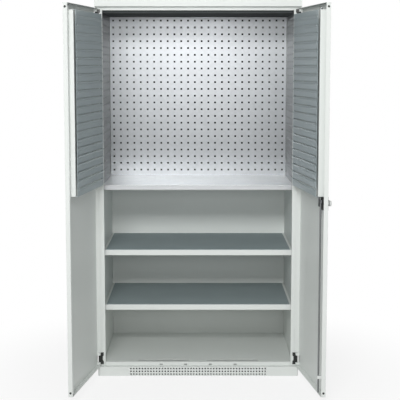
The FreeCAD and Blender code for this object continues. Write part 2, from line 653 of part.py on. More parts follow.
# Doors: folded pans drawn in each door's own frame, the pin at its origin and the inside toward plus y.
for side, name in ((LEFT, "left"), (RIGHT, "right")):
    toward = -side
    door = hang(piece(f"door_{name}"), side)

    def along(low, high):
        return across(toward, low, high)

    door_low, door_high = along("-pin_edge", DOOR_EDGE)
    slab(door, "plan", DOOR_FOOT, DOOR_HEAD, rectangle(door_low, DOOR_OUTSIDE, door_high, "pin_inset"))
    rounded(door, "carcass_sheet", lambda middle, way: (
        at(middle.y, DOOR_OUTSIDE) and abs(way.y) < EDGE_SLACK))
    cut(door, "front", DOOR_SKIN, "pin_inset", rectangle(
        f"({door_low} + carcass_sheet)", f"({DOOR_FOOT} + carcass_sheet)",
        f"({door_high} - carcass_sheet)", f"({DOOR_HEAD} - carcass_sheet)"))
    notch = along("(-pin_edge - carcass_sheet)", "(-pin_edge + 2 * carcass_sheet)")
    notches = [rectangle(f"({DOOR_SKIN} + carcass_sheet)", f"({low} - hinge_notch_gap)",
                         "(pin_inset + carcass_sheet)", f"({low} + hinge_length + hinge_notch_gap)")
               for low in HINGES]
    cut(door, "side", *notch, *notches)
    if side == RIGHT:
        cut(door, "front", f"{DOOR_OUTSIDE} - carcass_sheet", f"{DOOR_SKIN} + carcass_sheet",
            ("circle", times(toward, "lock_place"), LOCK_Z, "(lock_hole / 2)"))

    panel = hang(piece(f"louvre_panel_{name}"), side)
    louvre_end = "(louvre_start + louvre_width)"
    panel_low, panel_high = along("louvre_start", louvre_end)
    louvre_head = f"({LOUVRE_FOOT} + {LOUVRE_TALL})"
    slab(panel, "front", LOUVRE_BACK, "louvre_face", rectangle(panel_low, LOUVRE_FOOT, panel_high, louvre_head))
    cut(panel, "front", f"{LOUVRE_BACK} - panel_sheet", "louvre_face - panel_sheet", rectangle(
        f"({panel_low} + panel_sheet)", f"({LOUVRE_FOOT} + panel_sheet)",
        f"({panel_high} - panel_sheet)", f"({louvre_head} - panel_sheet)"))
    lip_low, lip_high = along("(louvre_start + louvre_side)", f"({louvre_end} - louvre_side)")
    slot_foot = f"({LOUVRE_FOOT} + louvre_margin + (hole_pitch - louvre_slot) / 2)"
    slot = cut(panel, "front", "louvre_face - 2 * panel_sheet", "louvre_face + panel_sheet", rectangle(
        lip_low, slot_foot, lip_high, f"({slot_foot} + louvre_slot)"))
    rows_tall = "(louvre_rows - 1) * hole_pitch"
    repeat(panel, slot, "Z_Axis", rows_tall, "louvre_rows")
    lip = slab(panel, "side", lip_low, lip_high, [
        ("(louvre_face - panel_sheet)", slot_foot),
        ("(louvre_face - panel_sheet)", f"({slot_foot} - 2 * panel_sheet)"),
        ("louvre_face", f"({slot_foot} - 2 * panel_sheet)"),
        ("(louvre_face + louvre_lip)", f"({slot_foot} + louvre_rise - panel_sheet)"),
        ("(louvre_face + louvre_lip)", f"({slot_foot} + louvre_rise)")])
    repeat(panel, lip, "Z_Axis", rows_tall, "louvre_rows")

    rails = (("hinge", "louvre_start", "wide_rail"), ("free", f"({louvre_end} - narrow_rail)", "narrow_rail"))
    for end, start, wide in rails:
        rail = hang(piece(f"louvre_rail_{name}_{end}"), side)
        rail_low, rail_high = along(start, f"({start} + {wide})")
        slab(rail, "plan", LOUVRE_FOOT, louvre_head, [
            (rail_low, DOOR_SKIN), (rail_low, LOUVRE_BACK), (rail_high, LOUVRE_BACK), (rail_high, DOOR_SKIN),
            (f"({rail_high} - carcass_sheet)", DOOR_SKIN),
            (f"({rail_high} - carcass_sheet)", f"({LOUVRE_BACK} - carcass_sheet)"),
            (f"({rail_low} + carcass_sheet)", f"({LOUVRE_BACK} - carcass_sheet)"),
            (f"({rail_low} + carcass_sheet)", DOOR_SKIN)])

# Strip on the left door's free edge that the right door closes onto.
meeting = hang(piece("meeting_strip"), LEFT)
meeting_low = "(pin_inset + meeting_back_gap)"
meeting_high = f"({meeting_low} + carcass_sheet)"
meeting_end = f"({DOOR_EDGE} + meeting_reach)"
meeting_start = f"({meeting_end} - meeting_width)"
slab(meeting, "plan", f"{DOOR_FOOT} + meeting_end_gap", f"{DOOR_HEAD} - meeting_end_gap", [
    (meeting_start, DOOR_SKIN), (meeting_start, meeting_high), (meeting_end, meeting_high),
    (meeting_end, meeting_low), (f"({meeting_start} + carcass_sheet)", meeting_low),
    (f"({meeting_start} + carcass_sheet)", DOOR_SKIN)])

# Lock on the right door: case, plate, turn handle, cam with two crank pins, and the rods they drive.
lock_x = "(-lock_place)"
lock_bore = ("circle", lock_x, LOCK_Z, "(spindle_radius + pin_fit)")
case = hang(piece("lock_case"), RIGHT)
slab(case, "front", DOOR_SKIN, "case_rise", rectangle(
    "(-lock_place - case_width / 2)", f"({LOCK_Z} - case_height / 2)",
    "(-lock_place + case_width / 2)", f"({LOCK_Z} + case_height / 2)"))
cut(case, "front", DOOR_SKIN, "case_rise", lock_bore)

plate = hang(piece("lock_plate"), RIGHT)
slab(plate, "front", f"{DOOR_OUTSIDE} - lock_plate_sheet", DOOR_OUTSIDE, rectangle(
    "(-lock_place - lock_plate_width / 2)", f"({LOCK_Z} - lock_plate_height / 2)",
    "(-lock_place + lock_plate_width / 2)", f"({LOCK_Z} + lock_plate_height / 2)"), lock_bore)

handle = hang(piece("turn_handle"), RIGHT)
hub_inner = f"({DOOR_OUTSIDE} - lock_plate_sheet - turning_gap)"
grip_inner = f"({hub_inner} - hub_depth)"
grip_outer = f"({grip_inner} - grip_depth)"
slab(handle, "front", grip_outer, grip_inner, rectangle(
    "(-lock_place - grip_length / 2)", f"({LOCK_Z} - grip_height / 2)",
    "(-lock_place + grip_length / 2)", f"({LOCK_Z} + grip_height / 2)"))
rounded(handle, "(grip_height - grip_end_flat) / 2", lambda middle, way: abs(way.y) > 1 - EDGE_SLACK)
slab(handle, "front", grip_inner, hub_inner, ("circle", lock_x, LOCK_Z, "hub_radius"))
cam_inner = "(case_rise + turning_gap)"
cam_outer = f"({cam_inner} + cam_sheet)"
slab(handle, "front", hub_inner, cam_outer, ("circle", lock_x, LOCK_Z, "spindle_radius"))
cylinder_end = f"({grip_outer} + cylinder_depth)"
cut(handle, "front", grip_outer, cylinder_end,
    ("circle", lock_x, LOCK_Z, "(cylinder_radius + pin_fit)"))

cylinder = hang(piece("lock_cylinder"), RIGHT)
slab(cylinder, "front", f"{grip_outer} - cylinder_head", f"{cylinder_end} - turning_gap",
     ("circle", lock_x, LOCK_Z, "cylinder_radius"))
cut(cylinder, "front", f"{grip_outer} - 2 * cylinder_head", f"{grip_outer} + key_slot_depth", rectangle(
    "(-lock_place - key_slot_width / 2)", f"({LOCK_Z} - key_slot_length / 2)",
    "(-lock_place + key_slot_width / 2)", f"({LOCK_Z} + key_slot_length / 2)"))

cam = hang(piece("cam_plate"), RIGHT)
long_way = "(cam_reach * sqrt(2) / 2)"
short_way = "(cam_width * sqrt(2) / 4)"
slab(cam, "front", cam_inner, cam_outer, [
    (f"({lock_x} + {long_way} + {short_way})", f"({LOCK_Z} - {long_way} + {short_way})"),
    (f"({lock_x} - {long_way} + {short_way})", f"({LOCK_Z} + {long_way} + {short_way})"),
    (f"({lock_x} - {long_way} - {short_way})", f"({LOCK_Z} + {long_way} - {short_way})"),
    (f"({lock_x} + {long_way} - {short_way})", f"({LOCK_Z} - {long_way} - {short_way})")],
    ("circle", lock_x, LOCK_Z, "spindle_radius"))
for way in (LEFT, RIGHT):
    slab(cam, "front", cam_outer, f"{cam_outer} + crank_pin_length", (
        "circle", f"({lock_x} + {way} * {CRANK_HEIGHT})", f"({LOCK_Z} - {way} * {CRANK_HEIGHT})",
        "crank_pin_radius"))


# Rods: the upper one starts below the lock's centre and rises, the lower one starts above it and drops.
def rod(label, way, low, high):
    body = hang(piece(label), RIGHT)
    place = f"({lock_x} + {way} * crank_radius)"
    yoke_z = f"({LOCK_Z} - {way} * {CRANK_HEIGHT})"
    slot_half = "(crank_pin_radius + crank_play)"
    slot_near = f"({CRANK_HEIGHT} - {slot_half})"
    slot_far = f"(crank_radius + {slot_half})"
    slot_ends = [times(way, slot_near), times(way, slot_far)]
    rim_ends = [times(way, f"{slot_near} - yoke_rim"), times(way, f"{slot_far} + yoke_rim")]
    yoke_front = "(rod_place - yoke_depth / 2)"
    yoke_rear = "(rod_place + yoke_depth / 2)"
    slab(body, "front", yoke_front, yoke_rear, rectangle(
        f"({lock_x} + {rim_ends[0]})", f"({yoke_z} - {slot_half} - yoke_rim)",
        f"({lock_x} + {rim_ends[1]})", f"({yoke_z} + {slot_half} + yoke_rim)"))
    cut(body, "front", f"{yoke_front} - carcass_sheet", f"{yoke_rear} + carcass_sheet", rectangle(
        f"({lock_x} + {slot_ends[0]})", f"({yoke_z} - {slot_half})",
        f"({lock_x} + {slot_ends[1]})", f"({yoke_z} + {slot_half})"))
    yoke_edge = f"({yoke_z} + {way} * ({slot_half} + yoke_rim / 2))"
    ends = {RIGHT: (yoke_edge, high), LEFT: (low, yoke_edge)}[way]
    slab(body, "plan", *ends, ("circle", place, "rod_place", "rod_radius"))


rod("upper_rod", RIGHT, None, f"({HOOD_FOOT} - strip_height - rod_head_gap)")
rod("lower_rod", LEFT, f"({FLOOR_TOP} + rod_foot_gap)", None)

guides = hang(piece("rod_guides"), RIGHT)
guide_places = ((UPPER_ROD, f"({DOOR_HEAD} - upper_guide_drop)"), (LOWER_ROD, f"({DOOR_FOOT} + lower_guide_rise)"))
for place, low in guide_places:
    high = f"({low} + guide_length)"
    slab(guides, "plan", low, high, rectangle(
        f"(-{place} - guide_half)", DOOR_SKIN, f"(-{place} + guide_half)", "(rod_place + rod_radius + guide_rim)"))
    cut(guides, "plan", low, high, ("circle", f"(-{place})", "rod_place", "(rod_radius + pin_fit)"))

doc.recompute()

# Check everything that was made, then write one file for each piece.
for item in doc.Objects:
    if "Invalid" in item.State or "Error" in item.State:
        raise RuntimeError(item.Label + " did not compute")
made = [item for item in doc.Objects if item.TypeId == "PartDesign::Body" or item.TypeId == "Part::Feature"]
os.makedirs("parts", exist_ok=True)
for item in made:
    if item.Shape.isNull() or not item.Shape.isValid():
        raise RuntimeError(item.Label + " has no sound shape")
    item.Shape.exportStep(f"parts/{item.Label}.step")
print(len(made), "pieces written")
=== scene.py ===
"""Steel materials cabinet: finishes, detailed pieces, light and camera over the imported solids."""

import json
import math

import bmesh
import bpy
from mathutils import Matrix, Vector


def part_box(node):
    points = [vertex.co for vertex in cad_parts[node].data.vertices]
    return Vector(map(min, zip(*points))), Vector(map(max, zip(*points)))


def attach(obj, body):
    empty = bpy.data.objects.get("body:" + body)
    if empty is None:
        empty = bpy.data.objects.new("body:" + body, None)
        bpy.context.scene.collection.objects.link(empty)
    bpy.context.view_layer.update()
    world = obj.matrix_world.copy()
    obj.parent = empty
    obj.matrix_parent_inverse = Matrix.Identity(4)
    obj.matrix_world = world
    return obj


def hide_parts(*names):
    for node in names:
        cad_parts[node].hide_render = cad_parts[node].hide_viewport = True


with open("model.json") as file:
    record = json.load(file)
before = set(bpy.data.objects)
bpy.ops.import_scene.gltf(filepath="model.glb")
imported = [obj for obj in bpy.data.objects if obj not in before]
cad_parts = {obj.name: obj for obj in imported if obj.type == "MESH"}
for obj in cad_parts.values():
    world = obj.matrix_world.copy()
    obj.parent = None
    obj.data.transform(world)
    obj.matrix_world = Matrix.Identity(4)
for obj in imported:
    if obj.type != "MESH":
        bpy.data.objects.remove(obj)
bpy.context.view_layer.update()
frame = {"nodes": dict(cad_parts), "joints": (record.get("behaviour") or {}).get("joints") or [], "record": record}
NODES = frame["nodes"]
JOINTS = {joint["name"]: joint for joint in frame["joints"]}
MILLIMETRE = 0.001
CLOSE = MILLIMETRE / 10
HAIR = MILLIMETRE / 100
SPECK = MILLIMETRE / 1000
FULL_TURN = 2 * math.pi
HALF_TURN = math.pi
QUARTER_TURN = math.pi / 2
LEFT = -1
RIGHT = 1
SIDES = {LEFT: "left", RIGHT: "right"}


def mm(*sizes):
    """Millimetres as a vector in metres."""
    return Vector([size * MILLIMETRE for size in sizes])


# Shader building.
MIX_SHARE_SLOT = 0
MIX_SHADER_SLOTS = (1, 2)
MIX_VECTOR_SLOTS = (4, 5)
MIX_VECTOR_OUT = 1
MIX_COLOUR_SLOTS = (6, 7)
MIX_COLOUR_OUT = 2


class Socket:
    """A shader value that can stand in a sum or a comparison."""

    def __init__(self, finish, link):
        self.finish = finish
        self.link = link

    def worked(self, operation, first, second=0.0):
        return self.finish.node("ShaderNodeMath", {"operation": operation}, {0: first, 1: second})

    def __add__(self, other):
        return self.worked("ADD", self, other)

    def __mul__(self, other):
        return self.worked("MULTIPLY", self, other)

    def above(self, limit):
        return self.worked("GREATER_THAN", self, limit)

    def below(self, limit):
        return self.worked("LESS_THAN", self, limit)

    def larger(self, other):
        return self.worked("MAXIMUM", self, other)

    def unsigned(self):
        return self.worked("ABSOLUTE", self)


class Finish:
    """One material and the nodes in it."""

    def __init__(self, name, shader="ShaderNodeBsdfPrincipled", **values):
        self.material = bpy.data.materials.new(name)
        self.material.use_nodes = True
        self.start(self.material.node_tree, "ShaderNodeOutputMaterial", shader)
        for label, value in values.items():
            self.set(label.replace("_", " "), value)

    def start(self, tree, output, shader):
        """Empty a node tree and join one shader to its output."""
        self.tree = tree
        tree.nodes.clear()
        self.shader = tree.nodes.new(shader)
        tree.links.new(self.shader.outputs[0], tree.nodes.new(output).inputs["Surface"])

    def feed(self, slot, value):
        if isinstance(value, Socket):
            self.tree.links.new(value.link, slot)
        else:
            slot.default_value = value

    def set(self, label, value):
        self.feed(self.shader.inputs[label], value)

    def node(self, kind, settings, values, output=0):
        """Add a node, set it up, feed it and hand one of its outputs back."""
        made = self.tree.nodes.new(kind)
        for label, setting in settings.items():
            setattr(made, label, setting)
        for label, value in values.items():
            self.feed(made.inputs[label], value)
        return Socket(self, made.outputs[output])

    def places(self):
        return self.node("ShaderNodeTexCoord", {}, {}, "Object")

    def along(self, axis):
        """How far a place lies along one axis."""
        return self.node("ShaderNodeSeparateXYZ", {}, {0: self.places()}, axis)

    def noise(self, scale, detail=2.0):
        values = {"Vector": self.places(), "Scale": scale, "Detail": detail}
        return self.node("ShaderNodeTexNoise", {}, values, "Fac")

    def blend(self, share, first, second):
        """Mix two colours."""
        values = {MIX_SHARE_SLOT: share, **dict(zip(MIX_COLOUR_SLOTS, (first, second)))}
        return self.node("ShaderNodeMix", {"data_type": "RGBA"}, values, MIX_COLOUR_OUT)

    def tinted(self, pattern, colour, dark_share, bright_share):
        """A colour that goes from darker to brighter along a pattern."""
        return self.blend(pattern, scaled(colour, dark_share), scaled(colour, bright_share))

    def roughen(self, pattern, rough_share, swing_share):
        """A roughness that swings about its middle along a pattern."""
        self.set("Roughness", pattern * swing_share + (rough_share - swing_share / 2))

    def relief(self, height, depth, strength):
        """Feed a height to the shader's normal."""
        values = {"Strength": strength, "Distance": depth, "Height": height}
        self.set("Normal", self.node("ShaderNodeBump", {}, values, "Normal"))


FULL_CHANNEL = 255
KNEE_SHARE = 0.04045
FOOT_SLOPE = 12.92
CURVE_OFFSET_SHARE = 0.055
CURVE_POWER = 2.4


def shade(red, green, blue):
    """A colour of the screen as the shader wants it."""
    colour = []
    for channel in (red, green, blue):
        share = channel / FULL_CHANNEL
        curved = ((share + CURVE_OFFSET_SHARE) / (1 + CURVE_OFFSET_SHARE)) ** CURVE_POWER
        colour.append(share / FOOT_SLOPE if share <= KNEE_SHARE else curved)
    return (*colour, 1.0)


def scaled(colour, share):
    return (*[min(1.0, channel * share) for channel in colour[:3]], 1.0)


# Finishes.
def powder_coat(name, colour, rough_share, gloss_share=0.4):
    """Baked powder paint: a fine orange peel and a faint unevenness of tone."""
    peel_scale = 700.0
    peel_depth = 0.00004
    cloud_scale = 2.5
    coat = Finish(name, Specular_IOR_Level=gloss_share)
    cloud = coat.noise(cloud_scale)
    coat.set("Base Color", coat.tinted(cloud, colour, dark_share=0.97, bright_share=1.03))
    coat.roughen(cloud, rough_share, swing_share=0.1)
    coat.relief(coat.noise(peel_scale), peel_depth, strength=0.5)
    return coat.material


def zinc(name, colour, rough_share, front=None, fold_shade_share=1.0):
    """Hot-dip zinc: crystals of slightly different tone under broader clouds; where a fold line is given, the fold
    in front of it gets a darker copy of the colour as painted shade.
    """
    crystal_scale = 70.0
    cloud_scale = 9.0
    warp_scale = 40.0
    warp_share = 0.02
    crystal_share = 0.5
    coat = Finish(name, Metallic=0.75)
    places = coat.places()
    warp = coat.node("ShaderNodeTexNoise", {}, {"Vector": places, "Scale": warp_scale}, "Color")
    values = {MIX_SHARE_SLOT: warp_share, **dict(zip(MIX_VECTOR_SLOTS, (places, warp)))}
    shifted = coat.node("ShaderNodeMix", {"data_type": "VECTOR"}, values, MIX_VECTOR_OUT)
    crystals = coat.node("ShaderNodeTexVoronoi", {}, {"Vector": shifted, "Scale": crystal_scale}, "Color")
    crystal = coat.node("ShaderNodeSeparateColor", {}, {0: crystals})
    cloud = coat.noise(cloud_scale, detail=3.0)
    tone = crystal * crystal_share + cloud * (1 - crystal_share)
    base = coat.tinted(tone, colour, dark_share=0.93, bright_share=1.07)
    # Painted shade: in front of the given fold line the colour is darkened, a shaded copy of the same zinc.
    if front is not None:
        base = coat.blend(coat.along("Y").below(front), base, scaled(colour, fold_shade_share))
    coat.set("Base Color", base)
    coat.roughen(crystal, rough_share, swing_share=0.04)
    return coat.material


def rubber(name, colour):
    """Ribbed rubber mat."""
    rib_scale = 60.0
    rib_depth = 0.0006
    dust_scale = 6.0
    coat = Finish(name, Roughness=0.75, Specular_IOR_Level=0.3)
    values = {"Vector": coat.places(), "Scale": rib_scale}
    ribs = coat.node("ShaderNodeTexWave", {"bands_direction": "X"}, values, "Fac")
    dust = coat.noise(dust_scale, detail=3.0)
    coat.set("Base Color", coat.tinted(dust, colour, dark_share=0.93, bright_share=1.07))
    coat.relief(ribs, rib_depth, strength=0.6)
    return coat.material


def plain_metal(name, colour, rough_share):
    """Drawn or turned steel."""
    grain_scale = 300.0
    coat = Finish(name, Metallic=1.0)
    grain = coat.noise(grain_scale)
    coat.set("Base Color", coat.tinted(grain, colour, dark_share=0.94, bright_share=1.04))
    coat.roughen(grain, rough_share, swing_share=0.1)
    return coat.material


def moulded(name, colour, rough_share):
    """Moulded or enamelled fitting."""
    grain_scale = 500.0
    grain_depth = 0.00003
    coat = Finish(name, Specular_IOR_Level=0.5)
    grain = coat.noise(grain_scale)
    coat.set("Base Color", coat.tinted(grain, colour, dark_share=0.95, bright_share=1.05))
    coat.roughen(grain, rough_share, swing_share=0.08)
    coat.relief(grain, grain_depth, strength=0.4)
    return coat.material


def back_paint(name, colour, painted_shade_colour):
    """Paint of the back wall, with painted shade where only the holes of the lining show it: a near-black tone
    that stands in for the deep shadow behind the lining.
    """
    lining_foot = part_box("perforated_back_left")[0].z
    inner_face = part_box("back_wall")[1].y - MILLIMETRE
    coat = Finish(name, Roughness=0.5, Specular_IOR_Level=0.3)
    # Painted shade: behind the lining the wall takes a near-black colour in place of the shadow there.
    shaded_behind_lining = coat.along("Y").below(inner_face) * coat.along("Z").above(lining_foot)
    coat.set("Base Color", coat.blend(shaded_behind_lining, colour, painted_shade_colour))
    return coat.material


WHITE = (1, 1, 1, 1)
LIGHT_GREY = shade(221, 225, 222)
BLUE_GREY = shade(164, 176, 179)
PLAIN_ZINC = shade(148, 151, 153)
# A lighter copy of the zinc: painted light on the middle shelf's top.
PAINTED_LIGHT_ZINC = shade(248, 251, 253)
BLACK = shade(34, 37, 35)
MAT_GREY = shade(148, 160, 162)
STEEL = shade(122, 125, 126)
NICKEL = shade(200, 198, 192)
HANDLE_GREY = shade(208, 211, 209)
# Roof liner: dark paint, made darker still than its blue grey slot colour as painted shade under the hood.
ROOF_PAINT_AND_SHADE = shade(84, 88, 88)
# Near-black painted shade for the back wall behind the lining.
PAINTED_SHADE_GREY = shade(40, 42, 42)
FLOOR_GREY = shade(240, 240, 240)
# Fold line of the middle shelf's front; the fold in front of it gets painted shade.
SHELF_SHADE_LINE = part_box("middle_shelf")[0].y + MILLIMETRE / 2
FINISHES = {
    "light_grey_paint": powder_coat("light grey powder coat", LIGHT_GREY, rough_share=0.45),
    "dark_grey_paint": powder_coat("blue grey powder coat", BLUE_GREY, rough_share=0.3, gloss_share=0.7),
    "galvanised_steel": zinc("zinc coated sheet", PLAIN_ZINC, rough_share=0.33),
    "black_fittings": moulded("black enamel", BLACK, rough_share=0.4),
    "shelf_mat": rubber("ribbed mat", MAT_GREY),
    "bright_steel": plain_metal("drawn steel", STEEL, rough_share=0.35),
    "lock_metal": plain_metal("nickel", NICKEL, rough_share=0.25),
    "handle_grey": moulded("grey enamel", HANDLE_GREY, rough_share=0.38),
}
OWN_FINISHES = {
    "back_wall": back_paint("back wall paint with painted shade", LIGHT_GREY, PAINTED_SHADE_GREY),
    # Dark paint of the roof liner, darkened further as painted shade under the hood.
    "roof_liner": powder_coat("roof paint and painted shade", ROOF_PAINT_AND_SHADE, rough_share=0.7, gloss_share=0.1),
    # Painted light and shade on the middle shelf: a lighter zinc for its top, and a darker copy of it on its front
    # fold.
    "middle_shelf": zinc("zinc with painted light and shade", PAINTED_LIGHT_ZINC, rough_share=0.38, front=SHELF_SHADE_LINE, fold_shade_share=0.5),
    # Painted shade: the zinc rails behind the lining take the black finish, so the holes in front of them look
    # dark as in shadow.
    "panel_rail_lower": FINISHES["black_fittings"],
    "panel_rail_upper": FINISHES["black_fittings"],
    "rod_guides": FINISHES["light_grey_paint"],
}
SLOT_OF = {part["node"]: part["material_slot"] for part in frame["record"]["subparts"]}
for node, obj in NODES.items():
    obj.data.materials.clear()
    obj.data.materials.append(OWN_FINISHES.get(node, FINISHES[SLOT_OF[node]]))


# Making pieces.
SMOOTH_UNDER = math.radians(35)
MATRIX_SIZE = 4
UNIT_GRID = 0.5
ROUND_SHARE = 0.5
FACING_SHARE = 0.9
ACROSS, DEEP, UP = range(3)


def make(mesh, name, body, slot, replaced=(), place=None):
    """Turn a mesh built in a piece's own frame into an object that rides on a body."""
    if place is not None:
        bmesh.ops.transform(mesh, matrix=place, verts=mesh.verts)
    bmesh.ops.remove_doubles(mesh, verts=mesh.verts, dist=HAIR)
    bmesh.ops.recalc_face_normals(mesh, faces=mesh.faces)
    data = bpy.data.meshes.new(name)
    mesh.to_mesh(data)
    mesh.free()
    data.shade_smooth()
    data.set_sharp_from_angle(angle=SMOOTH_UNDER)
    data.materials.append(FINISHES[slot])
    obj = bpy.data.objects.new(name, data)
    bpy.context.scene.collection.objects.link(obj)
    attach(obj, body)
    if replaced:
        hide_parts(*replaced)


def only(items, kind):
    return [item for item in items if isinstance(item, kind)]


def edges_of(verts):
    return list({edge for vert in verts for edge in vert.link_edges})


def plate(mesh, low, high):
    """A plain block between two corners."""
    size = Vector(high) - Vector(low)
    middle = (Vector(high) + Vector(low)) / 2
    place = Matrix.Translation(middle) @ Matrix.Diagonal((*size, 1))
    bmesh.ops.create_cube(mesh, size=1, matrix=place)


def holed_sheet(mesh, columns, rows, cell_width, cell_height, bar):
    """A flat sheet about the origin with a hole in each cell of a grid, and the points of that sheet."""
    known_verts = set(mesh.verts)
    known_faces = set(mesh.faces)
    made = bmesh.ops.create_grid(mesh, x_segments=columns, y_segments=rows, size=UNIT_GRID)["verts"]
    bmesh.ops.scale(mesh, vec=(columns * cell_width, rows * cell_height, 1), verts=made)
    cells = [face for face in mesh.faces if face not in known_faces]
    bmesh.ops.inset_individual(mesh, faces=cells, thickness=bar / 2, use_even_offset=True)
    bmesh.ops.delete(mesh, geom=cells, context="FACES")
    return [vert for vert in mesh.verts if vert not in known_verts]


def round_off(mesh, edges, radius, segments):
    bmesh.ops.bevel(mesh, geom=edges, offset=radius, segments=segments, profile=ROUND_SHARE, affect="EDGES",
                    material=-1)


def pushed(mesh, edges, *steps):
    """Carry a row of open edges on in steps, each a new strip of sheet."""
    for step in steps:
        grown = bmesh.ops.extrude_edge_only(mesh, edges=edges)["geom"]
        verts = only(grown, bmesh.types.BMVert)
        bmesh.ops.translate(mesh, vec=step, verts=verts)
        open_edges = [edge for edge in only(grown, bmesh.types.BMEdge) if edge.is_boundary]
        edges = [edge for edge in open_edges if all(vert in verts for vert in edge.verts)]


def thickened(mesh, faces, step):
    """Make a closed block of flat faces, from where they lie to a step away."""
    grown = bmesh.ops.extrude_face_region(mesh, geom=faces, use_keep_orig=True)["geom"]
    bmesh.ops.translate(mesh, vec=step, verts=only(grown, bmesh.types.BMVert))


def bent_line(mesh, start, bend, end, centre, axis, angle, steps):
    """Edges that run straight to a bend, turn about a centre and run straight on, and their end points."""
    first = mesh.verts.new(start)
    knee = mesh.verts.new(bend)
    edges = [mesh.edges.new((first, knee))]
    turn = bmesh.ops.spin(mesh, geom=[knee], cent=centre, axis=axis, angle=angle, steps=steps,
                          use_merge=False)
    edges += [edge for edge in mesh.edges if edge.is_wire and edge not in edges]
    last = mesh.verts.new(end)
    edges.append(mesh.edges.new((turn["geom_last"][0], last)))
    return edges, first, last


# Places on a door: u runs from the pin to the free edge, q to the door's inside, z up.
DOOR_BODY = {LEFT: "left_door", RIGHT: "right_door"}
DOOR_JOINT = {side: JOINTS[f"{DOOR_BODY[side]}_hinge"] for side in SIDES}
FACE_OUT = {
    "u": Matrix.Rotation(QUARTER_TURN, MATRIX_SIZE, "Y"),
    "q": Matrix.Rotation(-QUARTER_TURN, MATRIX_SIZE, "X"),
    "front": Matrix.Rotation(QUARTER_TURN, MATRIX_SIZE, "X"),
}


def on_door(side):
    """From a door's own frame to the cabinet's, with the door standing open."""
    opened = math.radians(DOOR_JOINT[side]["range_deg"][1])
    pin = Vector(DOOR_JOINT[side]["pos_m"])
    pin.z = 0
    turned = Matrix.Rotation(side * opened, MATRIX_SIZE, "Z")
    return Matrix.Translation(pin) @ turned @ Matrix.Diagonal((-side, 1, 1, 1))


# Perforated lining of the upper bay: the sheets at the sides and the narrow strips, with their holes.
HOLE_PITCH = 0.038
HOLE_SIZE = 0.010
HOLE_ROWS = 23
COLUMN_SLACK_SHARE = 0.02
LINING_GAP = 0.0005


def perforated(node):
    """A sheet that fills a node's box, with square holes on a square pitch."""
    low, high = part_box(node)
    size = high - low
    thin = min((ACROSS, DEEP, UP), key=lambda axis: size[axis])
    flat = DEEP if thin == ACROSS else ACROSS
    columns = int(size[flat] / HOLE_PITCH + COLUMN_SLACK_SHARE)
    mesh = bmesh.new()
    holed_sheet(mesh, columns, HOLE_ROWS, HOLE_PITCH, HOLE_PITCH, HOLE_PITCH - HOLE_SIZE)
    reach = columns * HOLE_PITCH / 2
    margin = size[flat] / 2 - reach
    for vert in mesh.verts:
        if abs(abs(vert.co.x) - reach) < MILLIMETRE:
            vert.co.x += math.copysign(margin, vert.co.x)
    bmesh.ops.solidify(mesh, geom=mesh.faces[:], thickness=size[thin])
    middle = sum(vert.co.z for vert in mesh.verts) / len(mesh.verts)
    bmesh.ops.translate(mesh, vec=(0, 0, -middle), verts=mesh.verts)
    ways = Matrix.Identity(MATRIX_SIZE - 1)
    turned = Matrix((ways[flat], ways[UP], ways[thin])).transposed().to_4x4()
    place = Matrix.Translation((low + high) / 2) @ turned
    make(mesh, f"{node}_sheet", "carcass", "galvanised_steel", (node,), place)


def lining_feet():
    """The plain foot of each lining sheet, down to the shelf it stands over."""
    shelf_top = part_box("middle_shelf")[1].z
    mesh = bmesh.new()
    for kind in ("back", "strip", "side"):
        for side_name in SIDES.values():
            low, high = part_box(f"perforated_{kind}_{side_name}")
            plate(mesh, (low.x, low.y, shelf_top + LINING_GAP), (high.x, high.y, low.z))
    make(mesh, "lining_feet", "carcass", "galvanised_steel")


for lining_side in SIDES.values():
    perforated(f"perforated_side_{lining_side}")
    perforated(f"perforated_strip_{lining_side}")
lining_feet()


# Louvred door panels.
LOUVRE_ROWS = 22
LOUVRE_START = 0.040
LOUVRE_WIDTH = 0.456
LOUVRE_FACE = 0.042
LOUVRE_FOLD = 0.012
LOUVRE_MARGIN = 0.014
LOUVRE_SLOT = 0.013
LOUVRE_SIDE = 0.009
SHEET = 0.00125
LIP_STEPS = (mm(0, 0.9, 1.1), mm(0, 1.9, 2.6), mm(0, 2.1, 3.6), mm(0, 1.4, 3.6))


def split_front(mesh, point, way):
    """Cut the upright front of a sheet along a plane."""
    front = [face for face in mesh.faces if abs(face.normal.y) > FACING_SHARE]
    geom = front + list({edge for face in front for edge in face.edges})
    geom += list({vert for face in front for vert in face.verts})
    bmesh.ops.bisect_plane(mesh, geom=geom, dist=SPECK, plane_co=point, plane_no=way)


